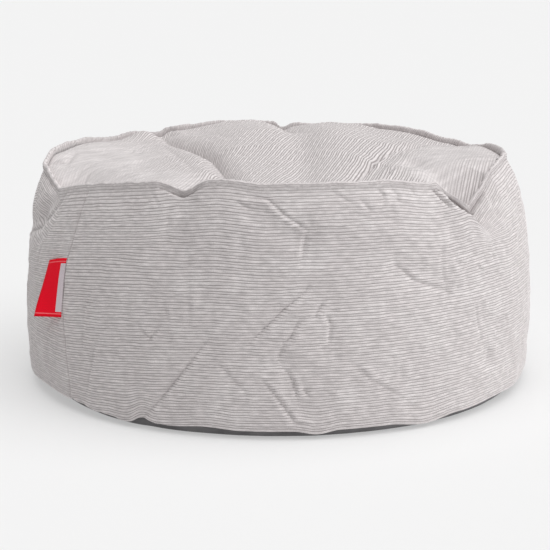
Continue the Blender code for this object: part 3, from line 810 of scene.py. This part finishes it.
def columns_between(panel):
    """A panel's angles, closer together between two of them and beside both its ends."""
    angles = [panel.start]
    while angles[-1] < panel.end - 1e-9:
        step = panel.fine if panel.fine_from <= angles[-1] < panel.fine_to else panel.coarse
        angles.append(min(angles[-1] + step / ARC, panel.end))
    if angles[-1] - angles[-2] < 0.3 * panel.fine / ARC:
        del angles[-2]
    beside = np.array(COLUMNS_BESIDE_SEAM) / ARC
    return np.sort(np.concatenate([angles, panel.start + beside, panel.end - beside]))


def grid_faces(rows, columns, wrap=False):
    """Quads of a grid, with its last column joined to its first where it wraps."""
    across = columns if wrap else columns - 1
    i, j = np.meshgrid(np.arange(rows - 1), np.arange(across), indexing="ij")
    after = (j + 1) % columns
    row, above = i * columns, (i + 1) * columns
    return np.stack([row + j, row + after, above + after, above + j], axis=-1).reshape(-1, 4).tolist()


def add_layer(mesh, name, vectors):
    """Keeps a vector for each point with a mesh, for its material."""
    layer = mesh.attributes.new(name, "FLOAT_VECTOR", "POINT")
    layer.data.foreach_set("vector", vectors.astype(np.float32).ravel())


def grid_outline(rows, columns):
    """A grid's outer points, from its first one along its first row and round."""
    grid = np.arange(rows * columns).reshape(rows, columns)
    return np.concatenate([grid[0], grid[1:, -1], grid[-1, -2::-1], grid[-2:0:-1, 0]]).tolist()


def make_piece(name, points, faces, material, node, fabric=None, normals=None):
    """A named piece on the pouf's one body, in place of a node."""
    mesh = bpy.data.meshes.new(name)
    mesh.from_pydata(points.reshape(-1, 3).tolist(), [], faces)
    mesh.materials.append(material)
    mesh.shade_smooth()
    if fabric is not None:
        add_layer(mesh, "fabric", fabric)
    if normals is not None:
        mesh.normals_split_custom_set_from_vertices(normals.tolist())
    piece = bpy.data.objects.new(name, mesh)
    bpy.context.scene.collection.objects.link(piece)
    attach(piece, "root")
    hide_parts(node)
    return piece


def band_piece(name, panel, material):
    """One panel of the side band, closed inside the pouf round its middle."""
    ribs = np.append((np.arange(REPEATS)[:, None] + np.array(RIB_STEPS)).ravel(), REPEATS)
    points, normals, fabric = band_grid(columns_between(panel), ribs)
    rows, columns = points.shape[:2]
    faces = grid_faces(rows, columns)
    loop = grid_outline(rows, columns)
    faces += [[rows * columns, b, a] for a, b in zip(loop, loop[1:] + loop[:1])]
    # The middle's own point, normal and place in the cloth follow those of the grid
    middle = ((0.0, 0.0, RIM_HEIGHT / 2), (0, 0, 1), (0, 0, 0))
    grids = zip((points, normals, fabric), middle)
    points, normals, fabric = (np.concatenate([grid.reshape(-1, 3), [last]]) for grid, last in grids)
    piece = make_piece(name, points, faces, material, "filled_body", fabric, normals)


def pressed_pile(x, y):
    """How far the top's ribs are pressed flat, from 0 to 1."""
    standing = 1.0
    for p in PRESSED:
        reach = ((x - p.x) / p.half_x) ** 2 + ((y - p.y) / p.half_y) ** 2
        standing = standing * (1 - p.amount * np.exp(-(reach**2)))
    return 1 - standing


def inside_rim(x, y):
    """The angle of a point in plan, and how far inside the standing seam it lies."""
    angle = np.degrees(np.arctan2(x, -y))
    return angle, np.maximum(rim_radius(angle) - SEAM_THICKNESS / 2 - np.hypot(x, y), 0)


def top_height(x, y):
    """Height of the top panel's cloth at a point in plan, without its ribs, and its shade."""
    angle, inward = inside_rim(x, y)
    foot, puffs = seam_foot(angle), waves(angle, RIM_PUFFS)
    level = foot + (TOP_LEVEL - foot) * smooth(inward / RIM_REACH)
    level += (PUFF + puffs) * (1 - np.exp(-inward / PUFF_REACH)) - puffs * smooth(inward / PUFF_END)
    form = 0.0
    for lobe in LOBES:
        reach = ((x - lobe.x) / lobe.half_x) ** 2 + ((y - lobe.y) / lobe.half_y) ** 2
        form = form + lobe.height * np.exp(-reach)
    for v in VALLEYS:
        away, side, _ = nearest_on_path(x, y, v.path)
        width = np.where(side > 0, v.width_left, v.width_right)
        form = form - v.depth * np.exp(-((away / width) ** 2))
    away_from_rim = 1 - np.exp(-((inward / PUFF_REACH) ** 2))
    creased = crease_relief(x, y, TOP_CREASES)
    wrinkles = noise(x / WRINKLE_ALONG + 7, (y - WRINKLE_SLANT * x) / WRINKLE_ACROSS) * pressed_pile(x, y)
    small = creased + ripples(x, y, TOP_SLACK) + WRINKLE_HEIGHT * wrinkles
    near_rim = smooth(inward / TOP_CREASES_FROM)
    # Painted shade in the creases' troughs and along the edge by the seam, with painted light where the
    # cloth stands beside a crease
    shade = np.clip(-creased / TOP_CREASE_DARK, -1, 1) * near_rim + np.exp(-inward / TOP_EDGE_DARK)
    return level + form * away_from_rim + small * near_rim, shade


def top_piece(material):
    """The top panel: lines along its ribs, each from the seam on one side to the seam on the other."""
    reach = RIM_RADIUS - SEAM_THICKNESS / 2
    count = int(reach / TOP_PITCH)
    ribs = (np.arange(-count, count)[:, None] + np.array(RIB_STEPS)).ravel()
    ribs = ribs[np.abs(ribs * TOP_PITCH) < reach - 0.002]
    steps, rib = np.meshgrid(np.linspace(-1, 1, TOP_LINE_POINTS), ribs)
    v = rib * TOP_PITCH
    u = np.sqrt(reach**2 - v**2) * steps
    turn = np.radians(TOP_RIB_ANGLE)
    x, y = u * np.cos(turn) - v * np.sin(turn), u * np.sin(turn) + v * np.cos(turn)
    shrink = (rim_radius(inside_rim(x, y)[0]) - SEAM_THICKNESS / 2) / reach
    x, y = x * shrink, y * shrink
    height, shade = top_height(x, y)
    points = np.stack([x, y, height], axis=-1)
    normals = grid_normals(points[::-1])[::-1]
    normals *= np.where(normals[..., 2:] < 0, -1, 1)
    pressed = pressed_pile(x, y)
    strength = 0.3 + 0.7 * smooth(inside_rim(x, y)[1] / TOP_RIBS_FROM)
    strength *= (1 + 0.15 * noise(u / 0.012, v / 0.005)) * (1 - pressed)
    points += normals * (TOP_RIB_RELIEF * rib_profile(rib) * strength)[..., None]
    fabric = np.stack([u, rib, shade + PRESSED_SHADE * pressed], axis=-1)
    faces = grid_faces(*points.shape[:2])
    piece = make_piece("top_cloth", points, faces, material, "top_panel", fabric)
    turn = np.radians(WRINKLE_ANGLE)
    along, across = x * np.cos(turn) + y * np.sin(turn), y * np.cos(turn) - x * np.sin(turn)
    add_layer(piece.data, "pressed", np.stack([pressed, along, across], axis=-1))


def seam_piece(material):
    """The standing seam round the rim, with the band's ribs along its outer face and the top
    panel's ribs across its crest and inner face."""
    angles = np.arange(-180.0, 180.0, 360.0 / SEAM_COLUMNS)
    out, up = np.array(SEAM_OUTLINE).T[..., None]
    foot, middle = seam_foot(angles), rim_radius(angles)
    plan = placed(angles, middle, 0.0)
    rib_turn = np.radians(TOP_RIB_ANGLE)
    top_rib = (np.cos(rib_turn) * plan[:, 1] - np.sin(rib_turn) * plan[:, 0]) / TOP_PITCH
    top_rib = top_rib + angles * ARC / SEAM_STITCH + 0.5 * noise(angles / 2.0, 4.4) + 0.7 * up
    sway = 0.0012 * noise(angles / 5.0, 3.3) + 0.0006 * noise(angles / 1.7, 8.1)
    squashed = 1 + 0.10 * noise(angles / 3.0, 1.7) - waves(angles, SEAM_SQUASHED)
    dots = (rib_profile(top_rib) - 0.5) * (1 + 0.8 * noise(angles / 1.1, 30.5))
    dots *= np.maximum(smooth(0.35 - out) * smooth((up - 0.2) / 0.4), 0.35)
    lift = STITCH_LIFT * dots + SEAM_FRAY * noise(angles / 0.5, up * 3 + 20)
    radius = middle + out * SEAM_THICKNESS / 2 + (SEAM_LEAN + sway) * up - lift * 0.7
    height = foot + SEAM_HEIGHT * up * squashed + lift * smooth(up)
    points = placed(angles, radius, height)
    rows, columns = points.shape[:2]
    faces = np.array(grid_faces(rows + 1, columns, wrap=True)) % (rows * columns)
    # Painted shade on the outer face and in the notches and pinches, with painted light on the crest
    shade = np.where((out > 0.55) & (up < 0.85), FACE_SHADE, CREST_SHADE)
    shade = shade + np.where(out > 0, waves(angles, OUTER_SEAM_SHADES), waves(angles, INNER_SEAM_SHADES))
    rib = np.where(out > 0, 1.3 * up, top_rib)
    fabric = np.stack(np.broadcast_arrays(angles * ARC, rib, shade), axis=-1)
    make_piece("rim_ridge", points, faces.tolist(), material, "rim_seam", fabric)


def base_piece(material):
    """The dark base cloth, flat on the floor and turned up to the hem."""
    angles = np.arange(-180.0, 180.0, 1.0)
    pucker = BASE_PUCKER * noise(angles / 2.5, 0.5)
    flat_radius = BASE_FLAT_RADIUS - waves(angles, BASE_TUCKS)
    rows = [placed(angles, radius, 0.0) for radius in BASE_RINGS]
    for curl, up, loose in BASE_LIP:
        rows.append(placed(angles, flat_radius + BASE_CURL * curl + pucker * loose, hem_height(angles) * up))
    points = np.concatenate([*rows, [[0.0, 0.0, 0.0]]])
    columns = len(angles)
    faces = grid_faces(len(rows), columns, wrap=True)
    faces += [[len(rows) * columns, (j + 1) % columns, j] for j in range(columns)]
    piece = make_piece("base_cloth", points, faces, material, "base_panel")


def label_piece(material):
    """The woven tag in the upright seam, flat at its top and swinging off the band at its foot."""
    across, share = np.meshgrid(np.linspace(0, 1, LABEL_COLUMNS + 1), np.linspace(0, 1, LABEL_ROWS + 1))
    reach = LABEL_WIDTH * across
    angle = LABEL_ANGLE_TOP + (LABEL_ANGLE_FOOT - LABEL_ANGLE_TOP) * share**0.7
    height = LABEL_TOP - LABEL_LENGTH * share
    hem, foot = hem_height(angle), seam_foot(angle)
    radius = wall_radius(angle, (height - hem) / (foot - hem), height)
    hug = -(reach**2) / (2 * radius) * (1 - share)
    wave = LABEL_WAVE * np.sin(share * 5.0 + across * 2.5) * across
    lift = np.radians(LABEL_LIFT_TOP + (LABEL_LIFT_FOOT - LABEL_LIFT_TOP) * share**1.4)[..., None]
    outward, sideways = placed(angle, 1.0, 0.0), placed(angle - 90.0, 1.0, 0.0)
    back = placed(angle, radius + LABEL_STANDOFF + hug + wave, height)
    back += (sideways * np.cos(lift) + outward * np.sin(lift)) * reach[..., None]
    back[..., 2] -= LABEL_DROOP * (1 - share) ** 1.5 * across**1.3
    front = back + (outward * np.cos(lift) - sideways * np.sin(lift)) * LABEL_THICKNESS
    offset = across.size
    faces = []
    for f in grid_faces(*across.shape):
        faces.append([f[0], f[3], f[2], f[1]])
        faces.append([v + offset for v in f])
    edge = grid_outline(*across.shape)
    for here, after in zip(edge, edge[1:] + edge[:1]):
        faces.append([here, after, after + offset, here + offset])
    fabric = np.stack([reach, height - LABEL_TOP, 0 * reach], axis=-1)
    points, fabric = np.stack([back, front]), np.stack([fabric, fabric])
    make_piece("side_label", points, faces, material, "label", fabric)


def new_material(name):
    material = bpy.data.materials.new(name)
    material.use_nodes = True
    return material, material.node_tree


def feed(tree, node, inputs):
    """Gives a node's inputs, by name or place, a value or another node's output."""
    for name, value in inputs.items():
        if isinstance(value, bpy.types.NodeSocket):
            tree.links.new(value, node.inputs[name])
        else:
            node.inputs[name].default_value = value
    return node


def math_node(tree, kind, *values):
    node = tree.nodes.new("ShaderNodeMath")
    node.operation = kind
    return feed(tree, node, dict(enumerate(values))).outputs[0]


def scaled_noise(tree, vector, scale, detail):
    """Noise whose coordinates are stretched by a scale along each axis."""
    mapping = feed(tree, tree.nodes.new("ShaderNodeMapping"), {"Vector": vector, "Scale": scale})
    inputs = {"Vector": mapping.outputs["Vector"], "Scale": 1.0, "Detail": detail}
    return feed(tree, tree.nodes.new("ShaderNodeTexNoise"), inputs).outputs["Fac"]


def mix_colour(tree, factor, first, second):
    node = tree.nodes.new("ShaderNodeMix")
    node.data_type = "RGBA"
    return feed(tree, node, {0: factor, 6: first, 7: second}).outputs[2]


def scaled_colour(tree, colour, scale):
    node = tree.nodes.new("ShaderNodeVectorMath")
    node.operation = "SCALE"
    return feed(tree, node, {0: colour, "Scale": scale}).outputs[0]


def map_range(tree, value, low, high, to_low, to_high):
    inputs = {"Value": value, "From Min": low, "From Max": high, "To Min": to_low, "To Max": to_high}
    return feed(tree, tree.nodes.new("ShaderNodeMapRange"), inputs).outputs["Result"]


def mesh_layer(tree, name):
    """A vector kept with the mesh, and its three parts."""
    node = tree.nodes.new("ShaderNodeAttribute")
    node.attribute_name = name
    parts = feed(tree, tree.nodes.new("ShaderNodeSeparateXYZ"), {0: node.outputs["Vector"]})
    return node.outputs["Vector"], *parts.outputs


def cover(tree, looks, bumps, strength, distance):
    """Gives the material its looks, and fine bumps at a strength and of a height in metres."""
    bump = tree.nodes.new("ShaderNodeBump")
    feed(tree, bump, {"Strength": strength, "Distance": distance, "Height": bumps})
    feed(tree, tree.nodes["Principled BSDF"], {"Normal": bump.outputs["Normal"], **looks})


def corduroy_material(name, ground, groove, groove_share, wear):
    """Cut pile in ribs: painted shade in the grooves, streaked along the ribs and patchy where it is
    pressed, with streaks of painted shade along its wrinkles there.
    """
    material, tree = new_material(name)
    # The fabric layer's third part, named creased here, is the meshes' painted shade, with painted light
    # where negative
    place, _, rib, creased = mesh_layer(tree, "fabric")
    from_first = math_node(tree, "PINGPONG", rib, 0.5)
    from_second = math_node(tree, "SUBTRACT", math_node(tree, "FRACT", rib), WIDE_SHARE)
    from_groove = math_node(tree, "MINIMUM", from_first, math_node(tree, "ABSOLUTE", from_second))
    pressed_place, pressed, _, _ = mesh_layer(tree, "pressed")
    standing = math_node(tree, "SUBTRACT", 1.0, pressed)
    # Painted shade in the grooves, hidden where the pile is pressed flat
    pile = map_range(tree, from_groove, 0.02, groove_share, 0.0, 1.0)
    pile = math_node(tree, "MAXIMUM", pile, pressed)
    body = tree.nodes.new("ShaderNodeTexCoord").outputs["Object"]
    patches = scaled_noise(tree, body, PATCH_SCALE, 3.0)
    worn = map_range(tree, patches, 0.48, 0.66, 0.0, wear)
    streaks = map_range(tree, scaled_noise(tree, place, STREAK_SCALE, 3.0), 0.30, 0.70, -0.17, 0.13)
    flecks = map_range(tree, scaled_noise(tree, place, TUFT_SCALE, 1.0), 0.25, 0.75, 0.88, 1.10)
    # Streaks of painted shade, with a little painted light, along the pressed parts' wrinkles
    wrinkles = scaled_noise(tree, pressed_place, WRINKLE_SCALE, 2.0)
    wrinkles = map_range(tree, wrinkles, 0.36, 0.60, -0.17, 0.05)
    shade = math_node(tree, "MULTIPLY_ADD", streaks, standing, 1.0)
    shade = math_node(tree, "MULTIPLY", shade, flecks)
    # Darkened by the meshes' painted shade and lightened by their painted light
    shade = math_node(tree, "MULTIPLY", shade, map_range(tree, creased, -1.0, 1.0, 1.18, 0.68))
    shade = math_node(tree, "MULTIPLY", shade, math_node(tree, "MULTIPLY_ADD", wrinkles, pressed, 1.0))
    colour = scaled_colour(tree, mix_colour(tree, worn, ground, WORN), shade)
    looks = {
        "Base Color": mix_colour(tree, pile, groove, colour),
        "Roughness": 0.92,
        "Specular IOR Level": 0.2,
        "Sheen Weight": 0.35,
        "Sheen Roughness": 0.5,
        "Sheen Tint": (1.0, 0.98, 0.97, 1.0),
    }
    cover(tree, looks, scaled_noise(tree, body, FUZZ_SCALE, 2.0), 0.5, 0.0005)
    return material


def base_material():
    """Smooth, tightly woven dark cloth."""
    material, tree = new_material("dark_base_cloth")
    body = tree.nodes.new("ShaderNodeTexCoord").outputs["Object"]
    cloudy = map_range(tree, scaled_noise(tree, body, CLOUD_SCALE, 3.0), 0.35, 0.65, 0.0, 1.0)
    looks = {"Base Color": mix_colour(tree, cloudy, BASE_DARK, BASE_PALE), "Roughness": 0.8}
    cover(tree, looks, scaled_noise(tree, body, WEAVE_SCALE, 2.0), 0.35, 0.0004)
    return material


def label_material():
    """Red woven tape with a pale strip beside the seam and paler lines near its ends."""
    material, tree = new_material("woven_tag")
    place, across, along, _ = mesh_layer(tree, "fabric")
    from_middle = math_node(tree, "ABSOLUTE", math_node(tree, "ADD", along, LABEL_LENGTH / 2))
    line_place = LABEL_LENGTH / 2 - LABEL_BORDER
    from_line = math_node(tree, "ABSOLUTE", math_node(tree, "SUBTRACT", from_middle, line_place))
    on_line = math_node(tree, "LESS_THAN", from_line, LABEL_LINE)
    on_strip = math_node(tree, "LESS_THAN", across, LABEL_SELVEDGE)
    inside = math_node(tree, "LESS_THAN", from_middle, line_place - LABEL_LINE_GAP)
    colour = mix_colour(tree, on_line, LABEL_RED, LABEL_LINES)
    colour = mix_colour(tree, math_node(tree, "MULTIPLY", on_strip, inside), colour, LABEL_PALE)
    threads = scaled_noise(tree, place, THREAD_SCALE, 1.0)
    colour = scaled_colour(tree, colour, map_range(tree, threads, 0.3, 0.7, 0.85, 1.1))
    cover(tree, {"Base Color": colour, "Roughness": 0.6, "Specular IOR Level": 0.1}, threads, 0.4, 0.0003)
    return material


def studio():
    """The camera, the floor and the soft light."""
    scene = bpy.context.scene
    lens = bpy.data.cameras.new("camera")
    lens.sensor_width = SENSOR
    lens.lens = FOCAL_PIXELS * SENSOR / FRAME_PIXELS
    camera = bpy.data.objects.new("camera", lens)
    camera.location = CAMERA_PLACE
    camera.rotation_euler = (np.radians(90 - CAMERA_DOWN), 0, 0)
    scene.collection.objects.link(camera)
    scene.camera = camera
    scene.view_settings.view_transform = "Standard"

    mesh = bpy.data.meshes.new("floor")
    corners = [(x * FLOOR_HALF, y * FLOOR_HALF, 0) for x, y in ((-1, -1), (1, -1), (1, 1), (-1, 1))]
    mesh.from_pydata(corners, [], [(0, 1, 2, 3)])
    floor = bpy.data.objects.new("floor", mesh)
    material, tree = new_material("studio_floor")
    looks = {
        "Base Color": FLOOR_GREY,
        "Emission Color": WHITE,
        "Emission Strength": FLOOR_GLOW,
        "Roughness": 0.9,
        "Specular IOR Level": 0.1,
    }
    feed(tree, tree.nodes["Principled BSDF"], looks)
    mesh.materials.append(material)
    scene.collection.objects.link(floor)

    world = bpy.data.worlds.new("studio")
    world.use_nodes = True
    feed(world.node_tree, world.node_tree.nodes["Background"], {"Color": WHITE, "Strength": WORLD_LIGHT})
    scene.world = world
    for lamp in LAMPS:
        light = bpy.data.lights.new(lamp.name, "SUN")
        light.energy = lamp.strength
        light.use_shadow = lamp.shadows
        light.angle = np.radians(lamp.spread)
        source = bpy.data.objects.new(lamp.name, light)
        source.rotation_euler = Vector(lamp.toward).to_track_quat("Z", "Y").to_euler()
        scene.collection.objects.link(source)


cord = corduroy_material("corduroy_side", PILE, GROOVE, 0.095, 0.45)
band_piece("band_right", RIGHT_COLUMNS, cord)
band_piece("band_left", LEFT_COLUMNS, cord)
top_piece(corduroy_material("corduroy_top", TOP_PILE, TOP_GROOVE, 0.16, 0.20))
seam_piece(cord)
base_piece(base_material())
label_piece(label_material())
studio()
